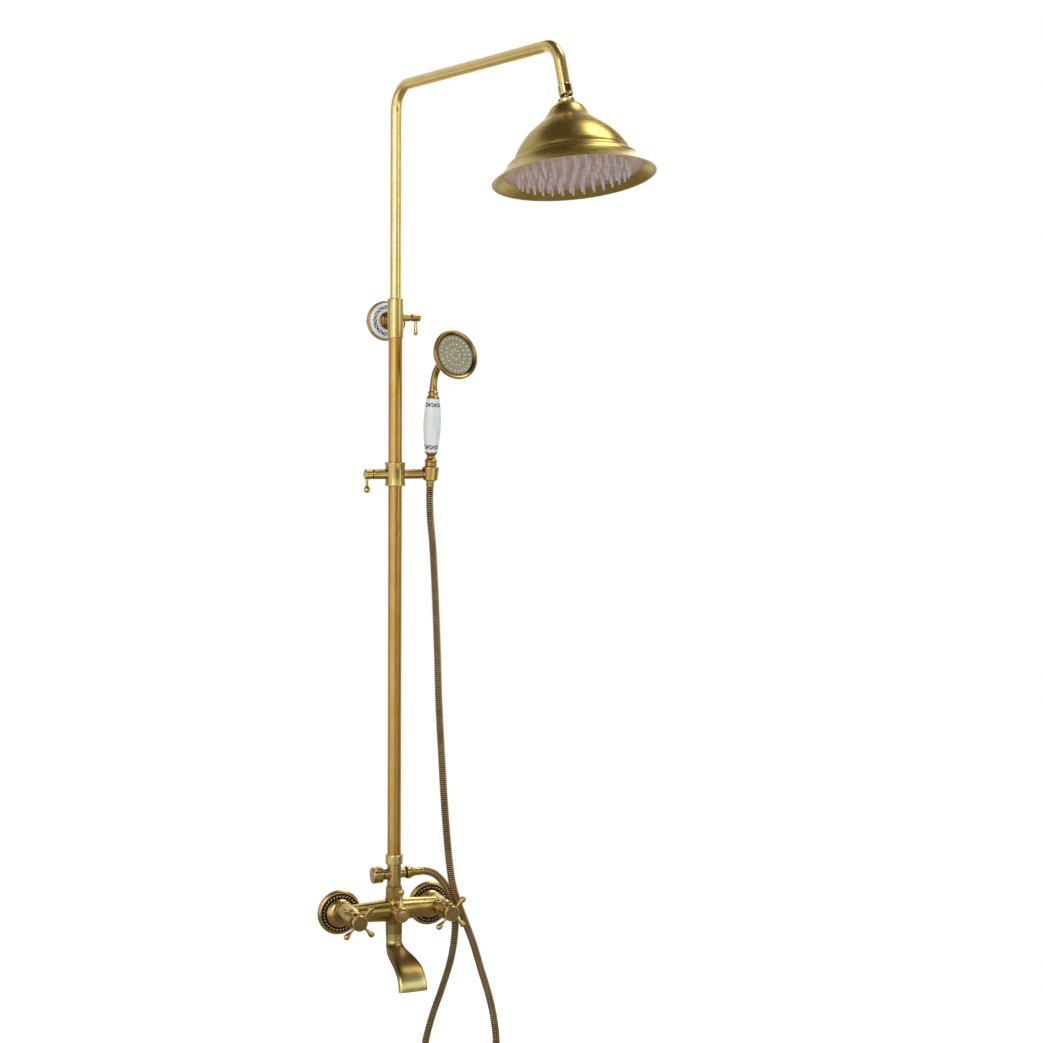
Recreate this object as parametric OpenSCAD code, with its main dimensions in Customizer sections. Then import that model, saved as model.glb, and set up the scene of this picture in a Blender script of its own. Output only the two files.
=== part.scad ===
/* [Wall and inlets] */
// Distance between the two wall inlets
inlet_gap = 150; // [140:1:160]
// Radius of the inlet threads
inlet_r = 10.4; // [10.2:0.05:10.6]
// How far the inlet threads reach into the wall
inlet_depth = 15; // [12:1:20]
// Height of the mixer's axis above the inlets
body_rise = 8; // [6:0.5:9]
// Radius of a rosette
rosette_r = 35; // [34:0.5:37]

/* [Column] */
// Distance from the wall to the axis of the pipes
stand_off = 46; // [45:0.5:50]
// Radius of the lower pipe
lower_r = 10.5; // [10.4:0.1:10.9]
// Radius of the upper pipe
upper_r = 8.3; // [8:0.05:8.3]
// Height of the wall bracket
bracket_z = 924; // [850:1:990]
// Height of the arm's axis
arm_z = 1276; // [1240:1:1320]
// Length of the arm from the pipe's axis to the drop
arm_l = 430; // [300:1:480]
// How far the arm is turned to the right
arm_turn = 10; // [-60:1:60]
// How far the drop leans outwards
drop_lean = 18; // [10:1:25]

/* [Shower head] */
// Radius of the bell's rim
bell_r = 109; // [105:0.5:112]
// How far the bell leans outwards
bell_lean = 10.5; // [8:0.5:16]

/* [Slider and handset] */
// Height of the slider
slider_z = 688; // [400:1:800]
// Distance from the pipe's axis to the handset's axis
holder_x = 58; // [56:0.5:64]
// How far the handset leans outwards
handset_lean = 5; // [0:1:10]
// How far the handset is turned to the right
handset_turn = 13; // [0:1:25]
// Radius of the hose
hose_r = 6; // [5.5:0.1:6.2]

/* [Hidden] */

BRASS = "#a8854a";
PALE_BRASS = "#c8ab62";
STEEL = "#b8b8b4";
CERAMIC = "#f1efe9";
RUBBER = "#1c1a18";
SILICONE = "#b9b2b4";
NYLON = "#e9e7e0";
PLATE = "#d8cdb4";
HOSE = "#8a7046";

// Clearance of a shaft in its hole, on the radius
run = 0.05;
// Clearance between two bodies that only pass each other
gap = 0.3;
// How far a cutting tool runs past a face
over = 1;

// Mixer, measured outwards from the wall
shoulder_r = 12;
tail_r = 9.5;
tail_end = 34;
hub_face = 105;
arm_plane = 99;
stem_r = 3;
chamber_front = 73;
diverter_front = 70;
spout_top = -34;

// Column, measured up from the inlets
barrel_top = 28.5;
selector_low = 45;
selector_z = 65;
selector_top = 81;
collar_top = 96;
lower_top = bracket_z - 6;
sleeve_low = bracket_z - 28;
sleeve_top = bracket_z + 32;
lock_z = bracket_z + 4;
guide_low = 690;
guide_h = 40;
lower_bore = 9.3;
upper_bore = 7;
arm_bend = 38;
drop_bend = 36;
drop_l = 61;
drop_turn = 90 - drop_lean;
drop_tangent = drop_bend * tan(drop_turn / 2);

// Swivel joint, measured down from the ball's centre
ball_below = 8;
ball_r = 7;
seat_r = 8;
nut_bottom = 17.7;
plate_d = 108.5;
rim_d = 118.7;
nozzle_l = 13;
nozzle_rings = [[0, 1], [15, 6], [30, 12], [45, 18], [60, 24], [74, 32]];

// Handset, measured up along its own axis from the holder
ferrule_low = 18.8;
ceramic_low = 34.3;
ceramic_top = 116.4;
neck_low = 136;
neck_r = 5.5;
neck_bend = 45;
neck_turn = 70;
neck_end = 8;
face_rings = [[7.4, 8], [16.4, 15], [26, 24]];
face_d = 28.5;

// Bell: radius and depth below the ball, from the neck to the rim
bell_outline = [
    [15.8, 17.7], [21.5, 22.5], [28.5, 32], [35.5, 39.5], [46, 48], [58, 59], [68, 71.5],
    [75, 83.5], [77.5, 91], [82, 93.5], [86.5, 96.5], [89.5, 101.5], [98, 110], [bell_r, rim_d]
];
bell_wall = 1.5;

// Ceramic handle: radius and height
ceramic_outline = [
    [9.7, ceramic_low], [10.6, 40.5], [12.3, 54], [13.5, 70], [13.5, 84], [12.4, 100],
    [10.8, 111], [9.9, ceramic_top]
];

// Spout: distance from the wall, height, slope, half width, half thickness
spout_stations = [
    [46, -34, 0, 12.6, 12.6], [46.4, -42, 8, 12.6, 12.4], [50, -50, 40, 13.6, 11.6],
    [58, -55.5, 66, 15.2, 10.4], [71, -58.5, 78, 17, 9.4], [88, -61.5, 78, 18.8, 8.6],
    [105, -65.5, 72, 20.4, 8], [119, -72, 52, 21.4, 7.4], [128, -81, 28, 22, 6.8],
    [132, -89, 12, 22.4, 6.4], [133.5, -96, 6, 22.6, 6.2]
];
spout_wall = 2.4;
spout_sides = 32;

// The hose's own route, from the handset down round the loop to the outlet
hose_route = [
    [58, -44.2, 667], [58, -43.2, 646], [59, -44.6, 615], [62, -48, 570], [65, -52, 490],
    [67, -56, 410], [69, -58, 330], [73, -60, 250], [78, -60, 175], [85, -60, 95], [92, -60, 45],
    [101, -60, 15], [113, -58, -15], [129, -56, -55], [144, -53, -100], [160, -50, -148],
    [170, -48, -190], [174, -47, -232], [167, -46, -278], [146, -45, -313], [112, -45, -326],
    [78, -45, -313], [57, -45, -281], [50, -46, -245], [54, -46, -207], [65, -46, -168],
    [81, -46, -126], [95, -46, -84], [102, -46, -44], [102, -46, -10], [93, -46, 24],
    [82, -46, 44], [66, -46, 59], [48, -46, 65]
];
hose_sides = 12;
hose_steps = 2;

// ---- Curves ----
// Point on a smooth curve between p1 and p2, which passes through all four
function between(p0, p1, p2, p3, t) =
    0.5 * (2 * p1 + (p2 - p0) * t + (2 * p0 - 5 * p1 + 4 * p2 - p3) * t * t
    + (3 * p1 - p0 - 3 * p2 + p3) * t * t * t);

// A smooth curve through the points, with the given number of steps between two
function smooth(points, steps) = let (last = len(points) - 1) concat(
    [for (i = [0:last - 1], s = [0:steps - 1]) between(
        points[max(i - 1, 0)], points[i], points[i + 1], points[min(i + 2, last)], s / steps)],
    [points[last]]);

function unit(v) = v / norm(v);

// ---- Shared shapes ----
// A turned solid: the outline holds radii and heights
module turned(outline) {
    rotate_extrude($fn = 72) polygon(outline);
}

// A straight round bar with a hole through it
module tube(outer, inner, h) {
    difference() {
        cylinder(r = outer, h = h, $fn = 64);
        translate([0, 0, -over]) cylinder(r = inner, h = h + 2 * over, $fn = 64);
    }
}

// Turns +Z away from the wall and keeps +Y as up
module outwards() {
    rotate([90, 0, 0]) children();
}

module at_inlet(side) {
    translate([side * inlet_gap / 2, 0, 0]) outwards() children();
}

module at_valve(side) {
    translate([side * inlet_gap / 2, 0, body_rise]) outwards() children();
}

module at_diverter() {
    translate([0, 0, body_rise]) outwards() children();
}

module at_bracket() {
    translate([0, 0, bracket_z]) outwards() children();
}

module on_column(z) {
    translate([0, -stand_off, z]) children();
}

// Turns +Z to the right or to the left
module to_right() {
    rotate([0, 90, 0]) children();
}

module to_left() {
    rotate([0, -90, 0]) children();
}

// A round bar bent through an angle, in the plane of the arm
module bend(r, bar_r, from, angle) {
    rotate([90, 0, 90]) rotate([0, 0, from])
        rotate_extrude(angle = angle, $fn = 96) translate([r, 0]) circle(r = bar_r, $fn = 48);
}

module on_arm() {
    on_column(0) rotate([0, 0, arm_turn]) children();
}

module on_drop() {
    on_arm() translate([0, -arm_l, arm_z]) rotate([-drop_lean, 0, 0]) children();
}

module at_ball() {
    on_drop() translate([0, 0, -drop_l - ball_below]) children();
}

module on_head() {
    at_ball() rotate([drop_lean - bell_lean, 0, 0]) children();
}

module at_holder() {
    translate([holder_x, -stand_off, slider_z]) rotate([handset_lean, 0, 0]) children();
}

module on_handset() {
    at_holder() rotate([0, 0, handset_turn]) children();
}

module on_face() {
    on_handset() translate([0, 0, neck_low]) translate([0, -neck_bend, 0]) rotate([neck_turn, 0, 0])
        translate([0, neck_bend, neck_end]) children();
}

// Tube between two skins, or a solid bar where the rings don't close up
module skin(rings, sides, closed) {
    count = len(rings);
    ends = closed ? [] : [
        [for (k = [0:sides - 1]) k],
        [for (k = [sides - 1:-1:0]) (count - 1) * sides + k]
    ];
    polyhedron(
        points = [for (ring = rings, p = ring) p],
        faces = concat(ends, [for (i = [0:count - (closed ? 1 : 2)], k = [0:sides - 1], half = [0, 1])
            let (a = i * sides, b = ((i + 1) % count) * sides, n = (k + 1) % sides)
            half == 0 ? [a + n, a + k, b + k] : [a + n, b + k, b + n]]),
        convexity = 8);
}

// ---- Supply and mixer ----
module s_union(side) {
    color(BRASS) at_inlet(side) difference() {
        union() {
            translate([0, 0, -inlet_depth]) cylinder(r = inlet_r, h = inlet_depth, $fn = 64);
            cylinder(r = shoulder_r, h = 19, $fn = 64);
            translate([0, body_rise / 2, 17]) cylinder(r = 15, h = 6, $fn = 64);
            translate([0, body_rise, 22]) cylinder(r = tail_r, h = tail_end - 22, $fn = 64);
        }
        translate([0, 0, -inlet_depth - over]) cylinder(r = 7, h = inlet_depth + 21 + over, $fn = 64);
        translate([0, body_rise, 20]) cylinder(r = 7, h = 15, $fn = 64);
    }
}

module rosette(side) {
    color(BRASS) at_inlet(side) turned(concat(
        [[rosette_r - 2, 0], [rosette_r, 0]],
        smooth([[rosette_r, 2], [rosette_r - 1, 4.6], [rosette_r - 3.2, 6.2], [rosette_r - 4.8, 6.3]], 3),
        [[29.4, 4.4], [23.4, 4.4]],
        smooth([[23.4, 6], [21.8, 10], [18.6, 13.6], [14.5, 16.2]], 3),
        [[13.4, 16.8], [shoulder_r, 16.8], [shoulder_r, 14], [14, 13.4], [17.4, 11.4], [20, 8],
        [20.8, 2.4], [rosette_r - 2.5, 2.4]]));
}

module rope_ring(side) {
    color(PALE_BRASS) at_inlet(side) translate([0, 0, 6.6])
        rotate_extrude($fn = 96) translate([26.4, 0]) circle(r = 2.2, $fn = 24);
}

module union_nut(side) {
    color(BRASS) at_valve(side)
        turned([
            [tail_r, 23.2], [14.4, 23.2], [15.4, 24.4], [15.4, 31], [14.8, 31.8],
            [12, 31.8], [12, 26], [tail_r, 26]
        ]);
}

module mixer_body() {
    color(BRASS) difference() {
        union() {
            for (side = [-1, 1]) at_valve(side)
                turned([
                    [0, 26.2], [12, 26.2], [12, 32.2], [14, 32.2], [14.6, 34], [14.6, 70],
                    [13.8, chamber_front], [0, chamber_front]
                ]);
            for (side = [-1, 1]) on_column(body_rise) rotate([0, side * 90, 0])
                translate([0, 0, 8]) cylinder(r1 = 17.6, r2 = 13.4, h = 62, $fn = 72);
            on_column(0) turned([[0, -30], [12.8, -30], [12.8, -13], [14.4, -8], [17.6, 0], [18.4, 8],
                [17.2, 15], [14.2, 21], [13.4, 24], [13.4, barrel_top], [0, barrel_top]]);
            at_diverter() translate([0, 0, stand_off])
                cylinder(r1 = 15, r2 = 11.6, h = diverter_front - stand_off, $fn = 72);
        }
        for (side = [-1, 1]) at_valve(side) {
            translate([0, 0, 25]) cylinder(r = tail_r, h = tail_end - 25, $fn = 64);
            translate([0, 0, 27]) cylinder(r = 7, h = 20, $fn = 64);
            translate([0, 0, 46]) cylinder(r = 9.2, h = 30, $fn = 64);
        }
        translate([-inlet_gap / 2, -stand_off, body_rise]) to_right()
            cylinder(r = 6.5, h = inlet_gap, $fn = 64);
        on_column(-40) cylinder(r = 7, h = 72, $fn = 64);
        on_column(-31) cylinder(r = 9 + run, h = 13, $fn = 64);
        at_diverter() translate([0, 0, stand_off + 5]) cylinder(r = 7.5, h = 25, $fn = 64);
    }
}

module cartridge(side) {
    color(STEEL) at_valve(side) difference() {
        turned([[0, 47], [8, 47], [8, 56], [9.1, 57], [9.1, chamber_front], [0, chamber_front]]);
        translate([0, 0, 52]) cylinder(r = stem_r + run, h = 22, $fn = 48);
    }
}

module bonnet(side) {
    color(BRASS) at_valve(side)
        turned([[stem_r + gap, chamber_front], [14.6, chamber_front], [14.6, 75], [13.2, 76.5],
            [12.8, 88], [12, 90.5], [stem_r + gap, 90.5]]);
}

module stem(side) {
    color(STEEL) at_valve(side) translate([0, 0, 53]) cylinder(r = stem_r, h = 49, $fn = 48);
}

// One cross arm with its drop-shaped end, along +Z
module cross_arm() {
    turned(concat([[0, 9]], [[2.6, 9]], smooth([[2.6, 11], [2, 15], [2.2, 19], [3.6, 23.5], [4.6, 27.5],
        [3.6, 31.2], [0.01, 32.8]], 3), [[0, 32.8]]));
}

module cross_handle(side) {
    color(BRASS) at_valve(side) difference() {
        union() {
            turned([[0, 91], [9.4, 91], [10.2, 92.5], [10.6, 96], [11.4, 100], [12.2, 101.5],
                [12.2, 104.2], [11.4, hub_face], [0, hub_face]]);
            for (k = [0:3]) translate([0, 0, arm_plane])
                rotate([0, 0, 45 + 90 * k]) rotate([90, 0, 0]) cross_arm();
        }
        translate([0, 0, 90]) cylinder(r = stem_r, h = 12, $fn = 48);
        translate([0, 0, hub_face - 1.4]) cylinder(r = 10, h = 3, $fn = 64);
    }
}

module index_disc(side) {
    color(PALE_BRASS) at_valve(side)
        turned([[0, hub_face - 1.4], [9.9, hub_face - 1.4], [9.9, hub_face - 0.9],
            [9.2, hub_face - 0.5], [0, hub_face - 0.3]]);
}

module spout_collar() {
    color(PALE_BRASS) on_column(0) turned([[9 + run, -33.7], [12.3, -33.7], [12.5, -32.8],
        [12.5, -30.9], [12.3, -30], [9 + run, -30]]);
}

// One ring of the spout: a circle at the top that flattens towards the mouth
function spout_ring(s, inset) = let (
    flat = min((s[3] - 12.6) / 8, 1), power = 1 - 0.55 * flat, a = s[3] - inset, b = s[4] - inset)
    [for (k = [0:spout_sides - 1]) let (
        t = 360 * k / spout_sides,
        u = a * sign(cos(t)) * pow(abs(cos(t)), power),
        v = b * sign(sin(t)) * pow(abs(sin(t)), power))
        [u, -s[0] - v * cos(s[2]), s[1] + v * sin(s[2])]];

module bath_spout() {
    stations = smooth(spout_stations, 3);
    last = len(stations) - 1;
    color(BRASS) union() {
        skin(concat([for (s = stations) spout_ring(s, 0)],
            [for (i = [last:-1:0]) spout_ring(stations[i], spout_wall)]), spout_sides, true);
        on_column(spout_top - 3) tube(9, 7, 17);
        on_column(spout_top - 3) tube(10.6, 7, 3);
    }
}

module diverter_bonnet() {
    color(BRASS) at_diverter() difference() {
        union() {
            turned([[0, diverter_front], [11.4, diverter_front], [11.4, 72.4], [10.4, 73.4], [0, 73.4]]);
            translate([0, 0, 54]) cylinder(r = 7.4, h = 17, $fn = 64);
        }
        translate([0, 0, 53]) cylinder(r = stem_r + run, h = 22, $fn = 48);
    }
}

module diverter_lever() {
    color(PALE_BRASS) at_diverter() {
        translate([0, 0, 55]) cylinder(r = stem_r, h = 22, $fn = 48);
        turned([[0, 74], [9.6, 74], [11.2, 75.5], [11.9, 79], [11.9, 84.2], [11, 85.4], [9.6, 85.6],
            [9.2, 84.4], [8.2, 84.4], [7.6, 85.4], [4, 86.2], [0, 86.4]]);
        translate([0, 0, 79.5]) rotate([-90, 0, 0]) turned(concat([[0, 9], [5, 9], [5, 12.5]],
            smooth([[4.6, 14], [3.4, 19], [2.4, 24], [2.2, 28.5]], 3), [[3, 29.5], [3, 30.5]],
            smooth([[3.4, 31], [4.8, 35.4], [3.4, 39.2], [0.01, 40.2]], 4), [[0, 40.2]]));
    }
}

// ---- Selector and hose outlet ----
module riser_nut() {
    color(PALE_BRASS) on_column(barrel_top) difference() {
        intersection() {
            cylinder(r = 13.6, h = selector_low - barrel_top, $fn = 6);
            turned([[0, 0], [12.6, 0], [13.8, 1.6], [13.8, 14.9], [12.6, 16.5], [0, 16.5]]);
        }
        translate([0, 0, -over]) cylinder(r = 10, h = 20, $fn = 64);
    }
}

module selector_body() {
    color(BRASS) difference() {
        union() {
            on_column(0) turned([[0, barrel_top], [10, barrel_top], [10, selector_low],
                [10.6, selector_low], [10.8, 47], [10.8, 79], [10.6, selector_top],
                [10.2, selector_top], [10.2, 87], [0, 87]]);
            on_column(selector_z) to_left() turned([[0, 0], [8.4, 0], [8.4, 17], [7.8, 18], [0, 18]]);
            on_column(selector_z) to_right() turned([[0, 0], [8, 0], [8, 12], [7.4, 13.5], [7.4, 17.4],
                [6, 17.4], [6, 28], [0, 28]]);
        }
        on_column(barrel_top - over) cylinder(r = 6.8, h = 62, $fn = 64);
        on_column(selector_z) to_right() cylinder(r = 4, h = 30, $fn = 48);
        on_column(selector_z) to_left() cylinder(r = stem_r + run, h = 20, $fn = 48);
    }
}

module selector_knob() {
    color(BRASS) on_column(selector_z) to_left() {
        translate([0, 0, 9]) cylinder(r = stem_r, h = 12, $fn = 48);
        difference() {
            turned([[0, 18.4], [8.2, 18.4], [9.2, 19.4], [12.2, 20.6], [12.6, 22],
                [12.6, 34.6], [11.8, 36], [0, 36]]);
            for (k = [0:7]) rotate([0, 0, 45 * k]) translate([13.2, 0, 21.6])
                cylinder(r = 2.4, h = 9.4, $fn = 24);
        }
    }
}

module outlet_seal() {
    color(RUBBER) on_column(selector_z) translate([18.7, 0, 0]) to_right()
        rotate_extrude($fn = 72) translate([7.3, 0]) circle(r = 1.3, $fn = 24);
}

module hose_end_nut() {
    color(BRASS) on_column(selector_z) to_right() turned(concat(
        [[6, 20], [9.2, 20], [10, 21], [10, 24.6]], smooth([[10, 25], [9.4, 27], [7.4, 30], [6.9, 32]], 3),
        [[5, 32], [5, 29], [6, 28.2]]));
}

module hose_end_ferrule() {
    color(BRASS) on_column(selector_z) to_right()
        turned([[4, 30], [5, 30], [5, 32.1], [6.1, 32.1], [6.3, 33], [6.3, 46.6], [6.1, 48], [4, 48]]);
}

// ---- Riser ----
module riser_collar() {
    color(PALE_BRASS) on_column(0) turned([[10.2, selector_top], [13, selector_top], [13.6, 82],
        [13.6, 93.5], [12.6, collar_top], [lower_r, collar_top], [lower_r, 88], [10.2, 88]]);
}

module lower_riser() {
    color(BRASS) on_column(88) tube(lower_r, lower_bore, lower_top - 88);
}

module wall_flange() {
    color(BRASS) at_bracket() difference() {
        turned(concat([[0, 0], [31, 0]], smooth([[31, 3.5], [30.6, 6.6], [29.6, 8], [28.4, 7.4]], 3),
            [[28.2, 5], [0, 5]]));
        for (side = [-1, 1]) translate([20 * side, 0, -over]) {
            cylinder(r = 2.2, h = 8, $fn = 48);
            translate([0, 0, over + 2.5]) cylinder(r = 4.2, h = 4, $fn = 48);
        }
    }
}

module flange_screws() {
    color(STEEL) at_bracket() for (side = [-1, 1]) translate([20 * side, 0, 0]) {
        translate([0, 0, -30]) cylinder(r = 2, h = 30, $fn = 48);
        translate([0, 0, -over]) cylinder(r = 1.8, h = over + 3, $fn = 48);
        translate([0, 0, 2.5]) cylinder(r = 4, h = 2.4, $fn = 48);
    }
}

module flange_ceramic() {
    color(CERAMIC) at_bracket() turned(concat([[13.8, 5], [28.1, 5], [28.1, 6.6]],
        smooth([[28, 7.4], [25.5, 9.8], [21, 11.4], [16, 12], [13.8, 11.8]], 3)));
}

module flange_boss() {
    color(BRASS) at_bracket() turned([[0, 5], [13.7, 5], [13.7, 12.6], [12.8, 13.6], [11.6, 13.2],
        [11, 13.8], [10.6, 15.6], [9.8, 16.2], [8.8, 16], [8.2, 17], [7.6, 19.5], [7, 22], [7, 29],
        [0, 29]]);
}

module riser_sleeve() {
    color(PALE_BRASS) difference() {
        union() {
            on_column(0) turned([[0, sleeve_low], [11.7, sleeve_low], [12.1, sleeve_low + 0.8],
                [12.1, sleeve_top - 0.8], [11.7, sleeve_top], [0, sleeve_top]]);
            at_bracket() translate([0, 0, 29]) cylinder(r = 8.4, h = 10, $fn = 64);
            on_column(lock_z) to_right() turned([[0, 8], [5.9, 8], [5.9, 22.6], [5.4, 23.6], [0, 23.6]]);
        }
        on_column(sleeve_low - over) cylinder(r = lower_r, h = lower_top - sleeve_low + over, $fn = 64);
        on_column(lower_top - over) cylinder(r = upper_r + run, h = 60, $fn = 64);
        on_column(lock_z) to_right() cylinder(r = 2.5 + run, h = 30, $fn = 48);
    }
}

module riser_lock_lever() {
    color(BRASS) on_column(lock_z) to_right() {
        translate([0, 0, upper_r + gap]) cylinder(r = 2.5, h = 19, $fn = 48);
        turned([[0, 24], [3.6, 24], [4, 25.2], [5.4, 26], [5.7, 27], [5.7, 38.4], [5.2, 39.4], [0, 39.4]]);
        translate([0, 0, 33]) rotate([0, 90, 0]) turned([[0, 3], [1.7, 3], [2.3, 12], [3, 22],
            [3, 24.4], [2.2, 26.2], [1, 27], [0, 27]]);
    }
}

module guide_bush() {
    color(NYLON) on_column(guide_low) difference() {
        turned([[0, 0], [lower_bore - run, 0], [lower_bore - run, 8], [8.9, 8], [8.9, 14],
            [lower_bore - run, 14], [lower_bore - run, guide_h], [0, guide_h]]);
        translate([0, 0, -over]) cylinder(r = upper_r + run, h = guide_h + 2 * over, $fn = 64);
    }
}

// The bent pipe at one radius: used for its outside and for its bore
module bent_pipe(r, extra) {
    on_arm() {
        translate([0, 0, guide_low - extra])
            cylinder(r = r, h = arm_z - arm_bend - guide_low + extra, $fn = 64);
        translate([0, -arm_bend, arm_z - arm_bend]) bend(arm_bend, r, 0, 90);
        translate([0, -arm_bend, arm_z]) outwards()
            cylinder(r = r, h = arm_l - arm_bend - drop_tangent, $fn = 64);
        translate([0, -arm_l + drop_tangent, arm_z - drop_bend]) bend(drop_bend, r, 90, drop_turn);
    }
    on_drop() translate([0, 0, -drop_l - extra])
        cylinder(r = r, h = drop_l - drop_tangent + extra, $fn = 64);
}

module upper_riser() {
    color(PALE_BRASS) difference() {
        bent_pipe(upper_r, 0);
        bent_pipe(upper_bore, over);
    }
}

// ---- Swivel and bell ----
module ball_nut() {
    color(PALE_BRASS) at_ball() difference() {
        turned([[0, ball_below], [8.8, ball_below], [9.8, 6.8], [9.8, -4.2], [9, -6], [0, -6]]);
        sphere(r = seat_r + run, $fn = 64);
        translate([0, 0, 2]) cylinder(r = 5, h = 8, $fn = 48);
        translate([0, 0, -7]) cylinder(r1 = 8.2, r2 = 6.3, h = 4, $fn = 48);
    }
}

module ball_seat() {
    color(NYLON) at_ball() difference() {
        intersection() {
            sphere(r = seat_r, $fn = 64);
            translate([0, 0, -4]) cylinder(r = 10, h = 8, $fn = 48);
        }
        sphere(r = ball_r + run, $fn = 64);
    }
}

module swivel_ball() {
    color(PALE_BRASS) on_head() difference() {
        union() {
            sphere(r = ball_r, $fn = 64);
            translate([0, 0, -13]) cylinder(r = 4, h = 9, $fn = 48);
            translate([0, 0, -18.5]) cylinder(r = 6, h = 6, $fn = 48);
        }
        translate([0, 0, -20]) cylinder(r = 2.6, h = 30, $fn = 48);
    }
}

module head_nut() {
    color(PALE_BRASS) on_head()
        turned([[4, -9.8], [8.4, -9.8], [11, -11.2], [11.9, -12.4], [11.9, -16.4], [11.2, -nut_bottom],
            [6, -nut_bottom], [6, -12.5], [4, -12.5]]);
}

module bell_shell() {
    curve = smooth(bell_outline, 3);
    last = len(curve) - 1;
    color(BRASS) on_head() turned(concat([[6, -nut_bottom]],
        [for (p = curve) [p[0], -p[1]]],
        [for (i = [last:-1:0]) [curve[i][0] - bell_wall, -min(curve[i][1] + bell_wall, rim_d)]],
        [[6, -nut_bottom - bell_wall]]));
}

// Places its children once for each place in the rings
module in_rings(rings) {
    for (ring = rings, k = [0:ring[1] - 1])
        rotate([0, 0, 360 * k / ring[1]]) translate([ring[0], 0, 0]) children();
}

module spray_plate() {
    color(PLATE) on_head() translate([0, 0, -plate_d]) difference() {
        cylinder(r1 = 93, r2 = 91.5, h = 1.6, $fn = 96);
        in_rings(nozzle_rings) translate([0, 0, -over]) cylinder(r = 2.9, h = 4, $fn = 24);
    }
}

module head_nozzles() {
    color(SILICONE) on_head() translate([0, 0, -plate_d]) {
        translate([0, 0, 1.6]) cylinder(r = 84, h = 1.5, $fn = 96);
        in_rings(nozzle_rings) {
            cylinder(r = 2.8, h = 2.4, $fn = 24);
            translate([0, 0, -nozzle_l]) cylinder(r1 = 1.3, r2 = 2.6, h = nozzle_l, $fn = 24);
        }
    }
}

// ---- Slider ----
module slider_liner() {
    color(NYLON) on_column(slider_z - 17) tube(11.5, lower_r + run, 34);
}

module slider_sleeve() {
    color(BRASS) difference() {
        union() {
            on_column(slider_z) turned(concat([[0, -18], [15.6, -18]], smooth([[15.9, -17], [15.4, -13],
                [14.9, -7], [14.8, 0], [14.9, 7], [15.4, 13], [15.9, 17]], 3), [[15.6, 18], [0, 18]]));
            on_column(slider_z) to_left() turned([[0, 8], [7.8, 8], [7.8, 35.6], [7.2, 36.4], [0, 36.4]]);
            on_column(slider_z) to_right() turned([[0, 8], [7.6, 8], [7.6, 42.6], [7, 43.6], [0, 43.6]]);
        }
        on_column(slider_z - 20) cylinder(r = 11.5 + run, h = 40, $fn = 64);
        on_column(slider_z) to_left() cylinder(r = 3 + run, h = 40, $fn = 48);
        on_column(slider_z) to_right() translate([0, 0, 22]) cylinder(r = 4 + run, h = 24, $fn = 48);
    }
}

module slider_lock_lever() {
    color(BRASS) on_column(slider_z) to_left() {
        translate([0, 0, 11.5 + gap]) cylinder(r = 3, h = 28, $fn = 48);
        turned([[0, 36.8], [6.2, 36.8], [6.4, 37.4], [7.6, 38], [7.8, 39], [7.8, 48], [7, 49], [0, 49]]);
        translate([0, 0, 45.6]) rotate([0, -90, 0]) turned(concat([[0, 4], [2.6, 4]], smooth([[2.6, 7],
            [2, 12], [2.2, 17.5]], 2), smooth([[3.4, 19.2], [5, 23.6], [3.6, 27.4], [0.01, 28.8]], 4),
            [[0, 28.8]]));
    }
}

module holder() {
    color(BRASS) difference() {
        union() {
            at_holder() turned([[0, -10], [10.6, -10], [11.6, -8.6], [13.2, 9.6], [12.8, 11.2], [0, 11.2]]);
            on_column(slider_z) to_right() translate([0, 0, 24]) cylinder(r = 4, h = 26, $fn = 48);
            on_column(slider_z) to_right() translate([0, 0, 44]) cylinder(r = 6.6, h = 5, $fn = 48);
        }
        at_holder() translate([0, 0, -12]) cylinder(r1 = 8.6, r2 = 11, h = 26, $fn = 64);
        at_holder() translate([0, -6.9, -20]) cube([30, 13.8, 40]);
    }
}

module holder_insert() {
    color(NYLON) at_holder() difference() {
        intersection() {
            translate([0, 0, -12]) cylinder(r1 = 8.6, r2 = 11, h = 26, $fn = 64);
            translate([0, 0, -10]) cylinder(r = 14, h = 21, $fn = 64);
        }
        translate([0, 0, -12]) cylinder(r1 = 7.1, r2 = 9.24, h = 26, $fn = 64);
        translate([0, -6.9, -20]) cube([30, 13.8, 40]);
    }
}

// ---- Handset ----
module hose_cone_nut() {
    color(BRASS) on_handset() turned([[5, -14], [6.3, -14], [6.65, -12], [8.78, 11.2], [8.9, 12],
        [9.3, 12.6], [9.3, 17.6], [8.8, ferrule_low], [5, ferrule_low]]);
}

module hose_top_ferrule() {
    color(BRASS) on_handset() turned([[4, -20], [6, -20], [6.2, -19], [6.2, -14], [5, -14], [5, 4],
        [4, 4]]);
}

module lower_ferrule() {
    color(BRASS) on_handset() turned(concat([[4, 5], [5, 5], [5, ferrule_low], [9.2, ferrule_low]],
        smooth([[9.8, 19.8], [9.7, 21.4], [7.6, 23.4], [6.2, 26.4], [7.4, 29.6], [9.2, 31.4],
        [9.9, 32.8]], 3), [[9.7, ceramic_low], [5.6, ceramic_low], [5.6, ceramic_top + 3],
        [4, ceramic_top + 3]]));
}

module ceramic_handle() {
    color(CERAMIC) on_handset() turned(concat([[5.6, ceramic_low]], smooth(ceramic_outline, 3),
        [[5.6, ceramic_top]]));
}

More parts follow.
